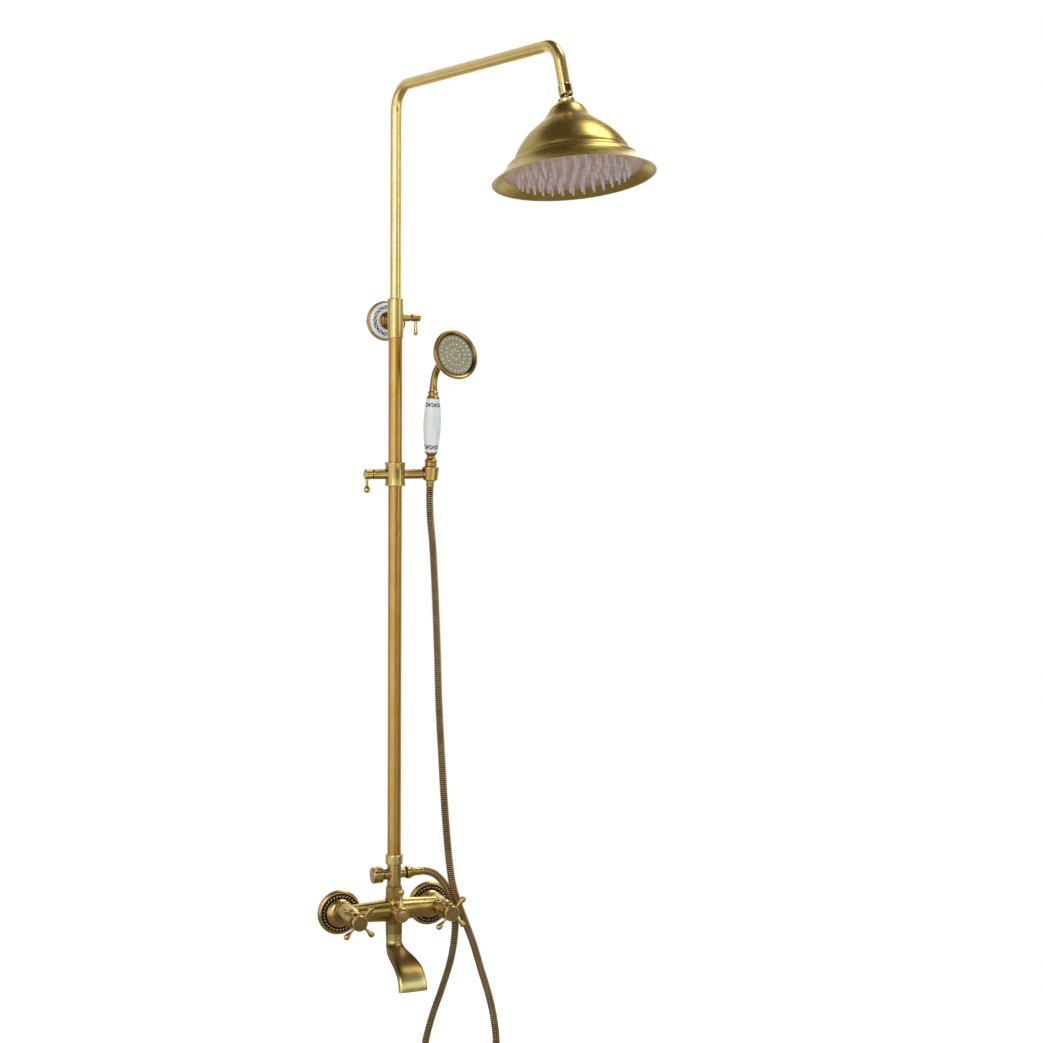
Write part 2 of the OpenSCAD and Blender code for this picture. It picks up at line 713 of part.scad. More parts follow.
module handset_neck() {
    color(BRASS) on_handset() difference() {
        union() {
            turned(concat([[0, ceramic_top], [9.9, ceramic_top], [10.1, 118]], smooth([[9.4, 119.6],
                [7.8, 121.4], [7.2, 124]], 2), smooth([[7.9, 125], [7.9, 127], [6.4, 128.6],
                [6.1, 132]], 2), [[6.1, 135], [5.8, neck_low], [0, neck_low]]));
            translate([0, -neck_bend, neck_low]) bend(neck_bend, neck_r, 0, neck_turn);
        }
        translate([0, 0, ceramic_top - over]) cylinder(r = 5.6, h = 4 + over, $fn = 48);
        translate([0, 0, ceramic_top]) cylinder(r = 4, h = neck_low - ceramic_top, $fn = 48);
        translate([0, -neck_bend, neck_low]) bend(neck_bend, 4, 0, neck_turn);
    }
}

module handset_head() {
    color(BRASS) on_face() translate([0, 0, -neck_end]) turned(concat([[4, 0], [6.8, 0]],
        smooth([[7, 2], [8, 5], [14, 9.5], [23, 13.6], [31, 18], [35.8, 22.6], [37.4, 26], [38.3, 28.6],
        [38, 31], [36.4, 32], [34.4, 31.2], [30.8, 28.4]], 3), [[30.6, 25.4], [29.4, 24.4], [27.6, 19.6],
        [21, 15.6], [12, 11.4], [6, 8], [4, 5]]));
}

module handset_plate() {
    color(PLATE) on_face() translate([0, 0, face_d - neck_end - 1.6]) difference() {
        cylinder(r = 30.4, h = 1.6, $fn = 96);
        in_rings(face_rings) translate([0, 0, -over]) cylinder(r = 1.25, h = 4, $fn = 24);
    }
}

module handset_nozzles() {
    color(SILICONE) on_face() translate([0, 0, face_d - neck_end]) {
        translate([0, 0, -2.8]) cylinder(r = 29.6, h = 1.2, $fn = 96);
        in_rings(face_rings) {
            translate([0, 0, -2]) cylinder(r = 1.2, h = 2, $fn = 24);
            cylinder(r1 = 1.6, r2 = 0.9, h = 2.2, $fn = 24);
        }
    }
}

// ---- Hose ----
// The hose never runs straight into the wall, so its rings can be set out from that direction
function hose_side(ahead) = unit(cross(ahead, [0, 1, 0]));

module shower_hose() {
    route = smooth(hose_route, hose_steps);
    last = len(route) - 1;
    color(HOSE) skin([for (i = [0:last]) let (
        ahead = unit(route[min(i + 1, last)] - route[max(i - 1, 0)]),
        u = hose_side(ahead), v = unit(cross(ahead, u)))
        [for (k = [0:hose_sides - 1]) let (t = 360 * k / hose_sides)
            route[i] + hose_r * (cos(t) * u + sin(t) * v)]], hose_sides, false);
}

s_union(-1);  // hot_union
s_union(1);  // cold_union
rosette(-1);  // hot_rosette
rosette(1);  // cold_rosette
rope_ring(-1);  // hot_rope_ring
rope_ring(1);  // cold_rope_ring
union_nut(-1);  // hot_union_nut
union_nut(1);  // cold_union_nut
mixer_body();
cartridge(-1);  // hot_cartridge
cartridge(1);  // cold_cartridge
bonnet(-1);  // hot_bonnet
bonnet(1);  // cold_bonnet
stem(-1);  // hot_stem
stem(1);  // cold_stem
cross_handle(-1);  // hot_handle
cross_handle(1);  // cold_handle
index_disc(-1);  // hot_disc
index_disc(1);  // cold_disc
spout_collar();
bath_spout();
diverter_bonnet();
diverter_lever();
riser_nut();
selector_body();
selector_knob();
outlet_seal();
hose_end_nut();
hose_end_ferrule();
riser_collar();
lower_riser();
wall_flange();
flange_ceramic();
flange_boss();
flange_screws();
riser_sleeve();
riser_lock_lever();
guide_bush();
upper_riser();
ball_nut();
ball_seat();
swivel_ball();
head_nut();
bell_shell();
spray_plate();
head_nozzles();
slider_liner();
slider_sleeve();
slider_lock_lever();
holder();
holder_insert();
hose_cone_nut();
hose_top_ferrule();
lower_ferrule();
ceramic_handle();
handset_neck();
handset_head();
handset_plate();
handset_nozzles();
shower_hose();
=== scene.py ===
"""Rainfall shower column in antique brass: its looks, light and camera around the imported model."""
import math

import bpy
import numpy as np
from mathutils import Matrix, Vector


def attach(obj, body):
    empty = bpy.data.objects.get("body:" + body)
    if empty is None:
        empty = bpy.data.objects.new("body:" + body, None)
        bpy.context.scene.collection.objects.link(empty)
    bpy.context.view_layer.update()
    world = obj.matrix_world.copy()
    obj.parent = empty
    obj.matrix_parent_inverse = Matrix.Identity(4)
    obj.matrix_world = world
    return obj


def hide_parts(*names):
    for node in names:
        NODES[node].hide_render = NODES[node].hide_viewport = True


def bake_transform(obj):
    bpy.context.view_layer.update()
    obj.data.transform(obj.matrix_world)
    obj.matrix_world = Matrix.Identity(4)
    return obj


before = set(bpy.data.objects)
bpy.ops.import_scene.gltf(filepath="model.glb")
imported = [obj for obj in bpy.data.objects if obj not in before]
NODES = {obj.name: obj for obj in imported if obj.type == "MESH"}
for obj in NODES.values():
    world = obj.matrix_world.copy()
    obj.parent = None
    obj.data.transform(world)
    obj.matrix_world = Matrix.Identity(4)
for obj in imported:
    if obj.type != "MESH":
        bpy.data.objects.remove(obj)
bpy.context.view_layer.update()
MM = 0.001
# The riser's axis stands this far in front of the wall, at Y = 0
COLUMN_OUT_MM = 46

# ---------------------------------------------------------------- camera
CAMERA_AT = (-0.980484, -2.785601, 0.797806)
YAW, PITCH, ROLL = (math.radians(a) for a in (23.534, 3.582, 0.392))
FOCAL_PX, IMAGE_PX, SENSOR_MM = 1887.76, 1043, 36.0


def make_camera():
    ahead = Vector((math.sin(YAW) * math.cos(PITCH), math.cos(YAW) * math.cos(PITCH), -math.sin(PITCH)))
    level = Vector((math.cos(YAW), -math.sin(YAW), 0))
    upright = level.cross(ahead)
    right = level * math.cos(ROLL) + upright * math.sin(ROLL)
    up = upright * math.cos(ROLL) - level * math.sin(ROLL)
    data = bpy.data.cameras.new("camera")
    data.sensor_width = SENSOR_MM
    data.lens = FOCAL_PX / IMAGE_PX * SENSOR_MM
    camera = bpy.data.objects.new("camera", data)
    camera.matrix_world = Matrix((
        (right.x, up.x, -ahead.x, CAMERA_AT[0]),
        (right.y, up.y, -ahead.y, CAMERA_AT[1]),
        (right.z, up.z, -ahead.z, CAMERA_AT[2]),
        (0, 0, 0, 1)))
    bpy.context.scene.collection.objects.link(camera)
    bpy.context.scene.camera = camera


make_camera()


# ---------------------------------------------------------------- mesh helpers
def smooth_curve(points, steps):
    """A Catmull-Rom curve through the points, with that many steps between two."""
    p = np.array(points, float)
    out = []
    for i in range(len(p) - 1):
        a, b, c, d = p[max(i - 1, 0)], p[i], p[i + 1], p[min(i + 2, len(p) - 1)]
        for s in range(steps):
            t = s / steps
            out.append(0.5 * (2 * b + (c - a) * t + (2 * a - 5 * b + 4 * c - d) * t * t
                              + (3 * b - a - 3 * c + d) * t ** 3))
    out.append(p[-1])
    return np.array(out)


def new_piece(name, points, faces):
    mesh = bpy.data.meshes.new(name)
    mesh.from_pydata([tuple(p) for p in points], [], faces)
    mesh.validate()
    mesh.shade_smooth()
    piece = bpy.data.objects.new(name, mesh)
    bpy.context.scene.collection.objects.link(piece)
    return piece


def skin(rings, around_too=False):
    """Points and faces of a skin over rings of equal length: closed by end caps, or joined end to start."""
    count, sides = len(rings), len(rings[0])
    points = [p for ring in rings for p in ring]
    faces = []
    for i in range(count if around_too else count - 1):
        a, b = i * sides, (i + 1) % count * sides
        for k in range(sides):
            n = (k + 1) % sides
            faces.append((a + k, a + n, b + n, b + k))
    if not around_too:
        faces.append(tuple(range(sides - 1, -1, -1)))
        faces.append(tuple((count - 1) * sides + k for k in range(sides)))
    return points, faces


def oval(centre, u, v, sides):
    """A ring of points round centre, with the half axes u and v."""
    return [centre + math.cos(t) * u + math.sin(t) * v for t in np.arange(sides) * 2 * math.pi / sides]


def along(line):
    """The distance from the line's start at each of its points."""
    return np.concatenate([[0], np.cumsum(np.linalg.norm(np.diff(line, axis=0), axis=1))])


# ---------------------------------------------------------------- hose
HOSE_ROUTE_MM = [
    (58, -44.4, 670), (58, -43.2, 646), (59, -44.6, 615), (62, -48, 570), (65, -52, 490),
    (67, -56, 410), (69, -58, 330), (73, -60, 250), (78, -60, 175), (85, -60, 95), (92, -60, 45),
    (101, -60, 15), (113, -58, -15), (129, -56, -55), (144, -53, -100), (160, -50, -148),
    (170, -48, -190), (174, -47, -232), (167, -46, -278), (146, -45, -313), (112, -45, -326),
    (78, -45, -313), (57, -45, -281), (50, -46, -245), (54, -46, -207), (65, -46, -168),
    (81, -46, -126), (95, -46, -84), (102, -46, -44), (102, -46, -10), (93, -46, 24),
    (82, -46, 44), (66, -46, 59), (48, -46, 65)]
HOSE_R, HOSE_GROOVE_R = 0.006, 0.0048
HOSE_SIDES, HOSE_STEPS, HOSE_PATH_POINTS = 18, 12, 500
RIB_PITCH = 0.0034
# The hose's direction is taken between two points this far either side
HOSE_LOOK = 0.004
# Radius within one rib: how far along the rib, and the share of the way from groove to crest
RIB_PROFILE = ((0.0, 0.0), (0.3, 0.0), (0.42, 0.85), (0.66, 1.0), (0.9, 0.85))
# Where the hose changes from one body to the next, measured from the handset
LIFT_TO, TILT_TO, SWIVEL_TO = 0.045, 0.07, 0.148


def point_on(line, at, s):
    """The point of the line at distance s from its start."""
    return np.array([np.interp(s, at, line[:, k]) for k in range(3)])


def hose_piece(name, line, at, start, stop):
    """A ribbed tube along the part of the line between two distances."""
    ribs = round((stop - start) / RIB_PITCH)
    pitch = (stop - start) / ribs
    places = [(start + (i + share) * pitch, rise) for i in range(ribs) for share, rise in RIB_PROFILE]
    places.append((stop, 0))
    rings = []
    for s, rise in places:
        radius = HOSE_GROOVE_R + (HOSE_R - HOSE_GROOVE_R) * rise
        ahead = (point_on(line, at, min(s + HOSE_LOOK, at[-1]))
                 - point_on(line, at, max(s - HOSE_LOOK, 0)))
        ahead /= np.linalg.norm(ahead)
        u = np.cross(ahead, (0, 1, 0))
        u /= np.linalg.norm(u)
        v = np.cross(ahead, u)
        rings.append(oval(point_on(line, at, s), radius * u, radius * v, HOSE_SIDES))
    piece = new_piece(name, *skin(rings))
    # The hose's material reads how high each point stands above the grooves, for its painted shade there
    rises = np.repeat([rise for _, rise in places], HOSE_SIDES).astype(np.float32)
    piece.data.attributes.new("rise", "FLOAT", "POINT").data.foreach_set("value", rises)
    return piece


def make_hose():
    """One long piece, and three short ones split off where the hose passes the joints of the slider and the
    holder.
    """
    line = smooth_curve(HOSE_ROUTE_MM, HOSE_STEPS) * MM
    at = along(line)

    lift = hose_piece("hose_at_ferrule", line, at, 0, LIFT_TO)
    tilt = hose_piece("hose_at_holder", line, at, LIFT_TO, TILT_TO)
    swing = hose_piece("hose_at_slider", line, at, TILT_TO, SWIVEL_TO)
    main = hose_piece("hose", line, at, SWIVEL_TO, at[-1])
    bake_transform(lift)
    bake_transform(tilt)
    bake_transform(swing)
    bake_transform(main)
    pieces = [main, swing, tilt, lift]
    for piece in pieces:
        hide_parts("shower_hose")
    return pieces


hose_pieces = make_hose()


# ---------------------------------------------------------------- rope rings
ROPE_CENTRE_R, ROPE_OUT = 26.4 * MM, 6.7 * MM
ROPE_CORE_R = 0.6 * MM
# Half sizes of one bead of the rope, and its turn away from the ring's own direction
BEAD_LONG, BEAD_WIDE, BEAD_HIGH = 2.7 * MM, 0.95 * MM, 1.7 * MM
BEADS, BEAD_TURN = 32, math.radians(132)
BEAD_SIDES, BEAD_RINGS = 12, 9
# A bead's rings run this share of the way to its tips
BEAD_SPAN = 0.98
CORE_STEPS = 96
INLET_X = 75 * MM
WALL_WAY = Vector((0, 1, 0))


def rope_ring(name, side, node):
    """A twisted rope as cast: a row of slanting beads on a thin ring, in the rosette's groove."""
    middle = Vector((side * INLET_X, -ROPE_OUT, 0))
    rings = []
    for turn in np.arange(CORE_STEPS) * 2 * math.pi / CORE_STEPS:
        out = Vector((math.cos(turn), 0, math.sin(turn)))
        rings.append(oval(middle + ROPE_CENTRE_R * out, ROPE_CORE_R * out, ROPE_CORE_R * WALL_WAY,
                          BEAD_SIDES))
    points, faces = skin(rings, around_too=True)
    for turn in np.arange(BEADS) * 2 * math.pi / BEADS:
        out = Vector((math.cos(turn), 0, math.sin(turn)))
        ahead = Vector((-math.sin(turn), 0, math.cos(turn)))
        along_bead = math.cos(BEAD_TURN) * ahead + math.sin(BEAD_TURN) * out
        across = along_bead.cross(WALL_WAY)
        rings = []
        for tilt in np.linspace(-BEAD_SPAN, BEAD_SPAN, BEAD_RINGS) * math.pi / 2:
            centre = middle + ROPE_CENTRE_R * out + BEAD_LONG * math.sin(tilt) * along_bead
            rings.append(oval(centre, BEAD_WIDE * math.cos(tilt) * across,
                              BEAD_HIGH * math.cos(tilt) * WALL_WAY, BEAD_SIDES))
        more_points, more_faces = skin(rings)
        faces += [tuple(k + len(points) for k in face) for face in more_faces]
        points += more_points
    ring = new_piece(name, points, faces)
    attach(ring, "fixed")
    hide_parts(node)
    return ring


rope_rings = [rope_ring("hot_twisted_rope", -1, "hot_rope_ring"),
              rope_ring("cold_twisted_rope", 1, "cold_rope_ring")]

# ---------------------------------------------------------------- bath spout
# Distance from the wall, height, slope, half width, half thickness
SPOUT_STATIONS = [
    (46, -34, 0, 12.6, 12.6), (46.4, -42, 8, 12.6, 12.4), (50, -50, 40, 13.6, 11.6),
    (58, -55.5, 66, 15.2, 10.4), (71, -58.5, 78, 17, 9.4), (88, -61.5, 78, 18.8, 8.6),
    (105, -65.5, 72, 20.4, 8), (119, -72, 52, 21.4, 7.4), (128, -81, 28, 22, 6.8),
    (132, -89, 12, 22.4, 6.4), (133.5, -96, 6, 22.6, 6.2)]
SPOUT_WALL = 2.4
SPOUT_SIDES, SPOUT_STEPS = 72, 7
# Half width of the round top, how much wider the mouth's section is, and how square it gets there
SPOUT_ROUND, SPOUT_SPREAD, SPOUT_SQUARE = 12.6, 8, 0.55
# The lip: shares of the wall's thickness, and how far it bulges
SPOUT_LIP, LIP_BULGE = (0.3, 0.6, 0.85), 0.7


def spout_section(station, inset):
    """One ring of the spout: a circle at the top that flattens towards the mouth."""
    out, height, slope, wide, thick = station
    power = 1 - SPOUT_SQUARE * min((wide - SPOUT_ROUND) / SPOUT_SPREAD, 1)
    slope = math.radians(slope)
    ring = []
    for k in range(SPOUT_SIDES):
        t = 2 * math.pi * k / SPOUT_SIDES
        u = (wide - inset) * math.copysign(abs(math.cos(t)) ** power, math.cos(t))
        v = (thick - inset) * math.copysign(abs(math.sin(t)) ** power, math.sin(t))
        ring.append(np.array((u, -out - v * math.cos(slope), height + v * math.sin(slope))) * MM)
    return ring


def circle_ring(radius, height):
    """A ring round the column's axis."""
    return oval(np.array((0, -COLUMN_OUT_MM, height)) * MM, np.array((radius, 0, 0)) * MM,
                np.array((0, -radius, 0)) * MM, SPOUT_SIDES)


def make_spout():
    """From the collar down the outside, round the lip, and up inside to the stub in the mixer."""
    stations = smooth_curve(SPOUT_STATIONS, SPOUT_STEPS)
    mouth = stations[-1]
    lip = []
    for share in SPOUT_LIP:
        station = mouth.copy()
        station[1] -= LIP_BULGE * math.sin(share * math.pi)
        lip.append(spout_section(station, SPOUT_WALL * share))
    rings = [circle_ring(9, -20), circle_ring(9, -33.9)]
    rings += [spout_section(s, 0) for s in stations] + lip
    rings += [spout_section(s, SPOUT_WALL) for s in stations[::-1]]
    rings += [circle_ring(7, -34), circle_ring(7, -20)]
    spout = new_piece("swivel_bath_spout", *skin(rings, around_too=True))
    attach(spout, "spout")
    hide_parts("bath_spout")
    return spout


spout_piece = make_spout()


# ---------------------------------------------------------------- material helpers
class Graph:
    """Builds one material's nodes. Values are numbers or sockets, and math() joins them."""

    def __init__(self, name):
        self.material = bpy.data.materials.new(name)
        self.material.use_nodes = True
        self.tree = self.material.node_tree
        self.shader = self.tree.nodes["Principled BSDF"]

    def node(self, kind, **settings):
        made = self.tree.nodes.new(kind)
        for key, value in settings.items():
            setattr(made, key, value)
        return made

    def put(self, value, socket):
        if isinstance(value, bpy.types.NodeSocket):
            self.tree.links.new(value, socket)
        else:
            socket.default_value = value

    def math(self, operation, a, b=0.0, clamp=False):
        made = self.node("ShaderNodeMath", operation=operation, use_clamp=clamp)
        self.put(a, made.inputs[0])
        self.put(b, made.inputs[1])
        return made.outputs[0]

    def ramp(self, value, low, high, to_low=0.0, to_high=1.0):
        made = self.node("ShaderNodeMapRange", interpolation_type="SMOOTHSTEP")
        for number, socket in zip((value, low, high, to_low, to_high), made.inputs[:5]):
            self.put(number, socket)
        return made.outputs[0]

    def mix(self, share, a, b):
        made = self.node("ShaderNodeMix", data_type="RGBA")
        self.put(share, made.inputs[0])
        self.put(a if isinstance(a, bpy.types.NodeSocket) else (*a, 1), made.inputs[6])
        self.put(b if isinstance(b, bpy.types.NodeSocket) else (*b, 1), made.inputs[7])
        return made.outputs[2]

    def place(self, origin=(0, 0, 0), turn=(0, 0, 0), stand=None):
        """Object coordinates in metres, in a frame at origin that is turned by the angles.

        stand is the frame's matrix, where that is known instead."""
        inverse = (stand or Matrix.Translation(Vector(origin)) @ euler(turn)).inverted()
        made = self.node("ShaderNodeMapping", vector_type="POINT")
        made.inputs["Location"].default_value = inverse.translation
        made.inputs["Rotation"].default_value = inverse.to_euler("XYZ")
        self.tree.links.new(self.node("ShaderNodeTexCoord").outputs["Object"], made.inputs["Vector"])
        return made.outputs[0]

    def split(self, vector):
        made = self.node("ShaderNodeSeparateXYZ")
        self.put(vector, made.inputs[0])
        return made.outputs

    def join(self, x, y, z):
        made = self.node("ShaderNodeCombineXYZ")
        for value, socket in zip((x, y, z), made.inputs):
            self.put(value, socket)
        return made.outputs[0]

    def length(self, a, b):
        squares = self.math("ADD", self.math("MULTIPLY", a, a), self.math("MULTIPLY", b, b))
        return self.math("SQRT", squares)

    def noise(self, vector, scale, detail=3.0, rough=0.5):
        made = self.node("ShaderNodeTexNoise")
        self.put(vector, made.inputs["Vector"])
        made.inputs["Scale"].default_value = scale
        made.inputs["Detail"].default_value = detail
        made.inputs["Roughness"].default_value = rough
        return made.outputs[0]

    def bump(self, height, strength, distance, normal=None):
        made = self.node("ShaderNodeBump")
        made.inputs["Strength"].default_value = strength
        made.inputs["Distance"].default_value = distance
        self.put(height, made.inputs["Height"])
        if normal is not None:
            self.put(normal, made.inputs["Normal"])
        return made.outputs[0]

    def fix(self, **numbers):
        """Numbers set on the shader's own sockets."""
        for key, value in numbers.items():
            self.shader.inputs[key.replace("_", " ")].default_value = value

    def link(self, value, name):
        self.tree.links.new(value, self.shader.inputs[name])


def euler(turn):
    """The turn about X, then Y, then Z, in degrees."""
    x, y, z = (Matrix.Rotation(math.radians(angle), 4, axis) for angle, axis in zip(turn, "XYZ"))
    return z @ y @ x


# Places of the parts that have their own direction, as in the CAD
HEAD_AT = Vector((0.078371, -0.490466, 1.210377))
HEAD_TURN = (-10.5, 0, 10)
HOLDER_AT = Vector((0.058, -0.046, 0.688))
HOLDER_TURN = (5, 0, 13)
BRACKET_AT = (0, 0, 0.924)
# The pipes' brush lines are counted from these points on the column's axis
LOWER_PIPE_AT, UPPER_PIPE_AT = (0, -COLUMN_OUT_MM * MM, 0.5), (0, -COLUMN_OUT_MM * MM, 1.0)

# Scales of the noises in the brass, and how far its brush lines are drawn out
PATCH_SCALE, SPECK_SCALE, STREAK_SCALE = 26, 420, 22
LINE_STRETCH, TURNED_ALONG, STRAIGHT_ALONG = 60, 0.35, 1.6
# Reach of the patina in the recesses
RECESS_REACH = 0.007
AO_SAMPLES, BEVEL_SAMPLES = 6, 4


def brass(name, base, deep, glint, rough, brushed=None, patina=0.75, lines=0.5, bevel=0.00035,
          paint=None):
    """Antique brass: patches of colour, dark patina in the recesses, brush lines and soft edges.

    brushed is the frame of the brush lines: its origin, turn and kind, "turned" or "straight".
    paint takes the graph and the colour, and gives the colour to use."""
    g = Graph(name)
    where = g.place()
    patches = g.noise(where, PATCH_SCALE, 4, 0.55)
    specks = g.noise(where, SPECK_SCALE, 3, 0.6)
    tone = g.mix(g.ramp(patches, 0.36, 0.66), base, glint)
    tone = g.mix(g.math("MULTIPLY", g.ramp(specks, 0.52, 0.76), 0.25), tone, deep)
    hidden = g.node("ShaderNodeAmbientOcclusion", samples=AO_SAMPLES)
    hidden.inputs["Distance"].default_value = RECESS_REACH
    recess = g.ramp(hidden.outputs["AO"], 0.25, 0.85, patina, 0.0)
    if paint:
        tone = paint(g, tone)
    tone = g.mix(recess, tone, deep)
    origin, turn, kind = brushed or ((0, 0, 0), (0, 0, 0), "straight")
    x, y, z = g.split(g.place(origin, turn))
    if kind == "turned":
        drawn = ((g.length(x, y), LINE_STRETCH), (g.math("ARCTAN2", y, x), TURNED_ALONG),
                 (z, LINE_STRETCH))
    else:
        drawn = ((x, LINE_STRETCH), (y, LINE_STRETCH), (z, STRAIGHT_ALONG))
    streak = g.noise(g.join(*(g.math("MULTIPLY", value, stretch) for value, stretch in drawn)),
                     STREAK_SCALE, 3, 0.65)
    tone = g.mix(g.math("MULTIPLY", g.ramp(streak, 0.4, 0.75), 0.3), tone, glint)
    g.link(tone, "Base Color")
    gloss = g.math("ADD", g.ramp(streak, 0.3, 0.7, rough[0], rough[1]),
                   g.math("MULTIPLY", recess, 0.18))
    g.link(gloss, "Roughness")
    edge = g.node("ShaderNodeBevel", samples=BEVEL_SAMPLES)
    edge.inputs["Radius"].default_value = bevel
    normal = g.bump(streak, 0.1 * lines, 0.0004, edge.outputs[0])
    normal = g.bump(specks, 0.05, 0.0003, normal)
    g.link(normal, "Normal")
    g.fix(Metallic=1.0)
    return g.material


def rope_groove_painted_shade(g, tone):
    """Painted shade: near black in the groove under the twisted rope."""
    x, _, z = g.split(g.place())
    radius = g.length(g.math("SUBTRACT", g.math("ABSOLUTE", x), INLET_X), z)
    # The groove's ring is painted near black for the shade that falls in it
    groove_shade = g.math("MULTIPLY", g.ramp(radius, 0.0228, 0.0236), g.ramp(radius, 0.0302, 0.0293))
    return g.mix(groove_shade, tone, (0.012, 0.006, 0.003))


def rope_creases_painted_shade(g, tone):
    """Painted shade: black low down between the beads."""
    _, out, _ = g.split(g.place())
    # Painted shade: the low parts of the beads and the core between them turn black
    return g.mix(g.ramp(out, -ROPE_OUT - 0.7 * BEAD_HIGH, -ROPE_OUT - 0.4 * BEAD_HIGH), tone,
                 (0.010, 0.005, 0.002))


def plate_frame():
    """The frame of the hand shower's plate, from its own points: Z is across the plate."""
    plate = NODES["handset_plate"]
    points = np.array([plate.matrix_world @ v.co for v in plate.data.vertices])
    middle = points.mean(axis=0)
    # The direction in which the points spread least
    across = np.linalg.svd(points - middle, full_matrices=False)[2][2]
    stand = Vector(across).to_track_quat("Z", "Y").to_matrix().to_4x4()
    return Matrix.Translation(Vector(middle)) @ stand


def head_groove_painted_shade(g, tone):
    """Painted shade: a dark ring in the groove round the hand shower's plate."""
    x, y, depth = g.split(g.place(stand=plate_frame()))
    radius = g.length(x, y)
    groove_shade = g.math("MULTIPLY", g.ramp(radius, 0.0292, 0.0302), g.ramp(radius, 0.0352, 0.0322))
    near = g.ramp(g.math("ABSOLUTE", depth), 0.008, 0.006)
    # Painted shade: the groove's ring near the plate is darkened
    return g.mix(g.math("MULTIPLY", g.math("MULTIPLY", groove_shade, near), 0.92), tone,
                 (0.03, 0.014, 0.006))


def spout_painted_shade(g, tone):
    """Painted shade where the spout bends forwards; its ring and its flat front are left bright."""
    _, _, z = g.split(g.place())
    bend_shade = g.math("MULTIPLY", g.ramp(z, -0.079, -0.068), g.ramp(z, -0.039, -0.047))
    return g.mix(g.math("MULTIPLY", bend_shade, 0.95), tone, (0.19, 0.092, 0.011))


# Each brass: base colour, dark patina, bright patches, and the lowest and highest roughness
ANTIQUE = brass("antique_brass", (0.50, 0.335, 0.098), (0.05, 0.024, 0.007), (0.68, 0.50, 0.18),
                (0.20, 0.32), patina=0.92)
ROSETTE = brass("rosette_brass", (0.58, 0.38, 0.12), (0.05, 0.024, 0.008), (0.74, 0.52, 0.2),
                (0.22, 0.34), patina=0.92, paint=rope_groove_painted_shade)
ROPE = brass("rope_brass", (1.0, 0.84, 0.62), (0.02, 0.01, 0.004), (1.0, 0.92, 0.76),
             (0.34, 0.44), patina=0.0, bevel=0.0001, paint=rope_creases_painted_shade)
SPOUT = brass("spout_brass", (0.78, 0.64, 0.23), (0.10, 0.045, 0.010), (0.90, 0.78, 0.34),
              (0.26, 0.38), patina=0.5, paint=spout_painted_shade)
PALE = brass("pale_brass", (0.72, 0.53, 0.20), (0.12, 0.065, 0.018), (0.82, 0.64, 0.27),
             (0.24, 0.32), lines=0.3)
POLISHED = brass("polished_brass", (0.80, 0.60, 0.24), (0.10, 0.05, 0.015), (0.92, 0.76, 0.38),
                 (0.07, 0.14), patina=0.85, lines=0.15)
# Lit and shaded copies of one brass: the lower pipe is painted darker and more orange, the upper pipe paler
# and brighter, for how the light falls on each
LOWER_PIPE_PAINTED_SHADE = brass("lower_pipe_brass_painted_shade", (0.64, 0.37, 0.095), (0.16, 0.075, 0.018),
                   (0.70, 0.43, 0.125), (0.26, 0.36), (LOWER_PIPE_AT, (0, 0, 0), "straight"),
                   patina=0.5)
UPPER_PIPE_PAINTED_LIGHT = brass("upper_pipe_brass_painted_light", (0.94, 0.70, 0.27), (0.20, 0.11, 0.03), (0.98, 0.77, 0.33),
                   (0.24, 0.34), (UPPER_PIPE_AT, (0, 0, 0), "straight"), patina=0.5)
BELL = brass("brushed_bell_brass", (0.60, 0.44, 0.12), (0.15, 0.075, 0.017), (0.66, 0.50, 0.155),
             (0.25, 0.36), (HEAD_AT, HEAD_TURN, "turned"), patina=0.3, lines=1.4)
HANDLE = brass("handle_brass", (0.62, 0.42, 0.13), (0.10, 0.05, 0.015), (0.78, 0.58, 0.22),
               (0.14, 0.24), lines=0.2)
HEAD = brass("handset_brass", (0.42, 0.25, 0.075), (0.06, 0.03, 0.010), (0.52, 0.34, 0.12),
             (0.22, 0.32), (HOLDER_AT, HOLDER_TURN, "turned"), patina=0.95, paint=head_groove_painted_shade)
RED_BRASS = brass("red_brass", (0.38, 0.20, 0.07), (0.06, 0.025, 0.01), (0.50, 0.30, 0.11),
                  (0.18, 0.28), patina=0.95)
DISC = brass("disc_brass", (0.42, 0.27, 0.10), (0.08, 0.04, 0.015), (0.52, 0.35, 0.14),
             (0.24, 0.36), patina=0.4)


def grained(name, grain, tones, rough, relief, **numbers):
    """A plain finish, with one fine grain in its colour, gloss and relief."""
    g = Graph(name)
    fine = g.noise(g.place(), *grain)
    g.link(g.mix(g.ramp(fine, 0.35, 0.7), *tones), "Base Color")
    g.link(g.ramp(fine, 0.3, 0.7, *rough), "Roughness")
    g.link(g.bump(fine, *relief), "Normal")
    g.fix(**numbers)
    return g.material


def silicone(name, tint, see_through):
    return grained(name, (60, 2), (tint, tuple(min(1, c * 1.08) for c in tint)), (0.24, 0.34),
                   (0.03, 0.0003), IOR=1.41, Transmission_Weight=see_through)


def hose_metal():
    """Grey-brown bronze, with painted shade in the grooves between the ribs."""
    g = Graph("hose_metal")
    where = g.place()
    patches = g.noise(where, 34, 4)
    fine = g.noise(where, 900, 2)
    tone = g.mix(g.ramp(patches, 0.35, 0.65), (0.46, 0.29, 0.125), (0.56, 0.40, 0.21))
    tone = g.mix(g.math("MULTIPLY", g.ramp(fine, 0.5, 0.72), 0.4), tone, (0.66, 0.54, 0.34))
    rise = g.node("ShaderNodeAttribute", attribute_name="rise").outputs["Fac"]
    # Painted shade: near black down in the grooves between the ribs
    tone = g.mix(g.ramp(rise, 0.8, 0.1), tone, (0.02, 0.010, 0.005))
    g.link(tone, "Base Color")
    g.link(g.ramp(fine, 0.3, 0.7, 0.3, 0.44), "Roughness")
    g.link(g.bump(fine, 0.1, 0.0002), "Normal")
    g.fix(Metallic=1.0)
    return g.material


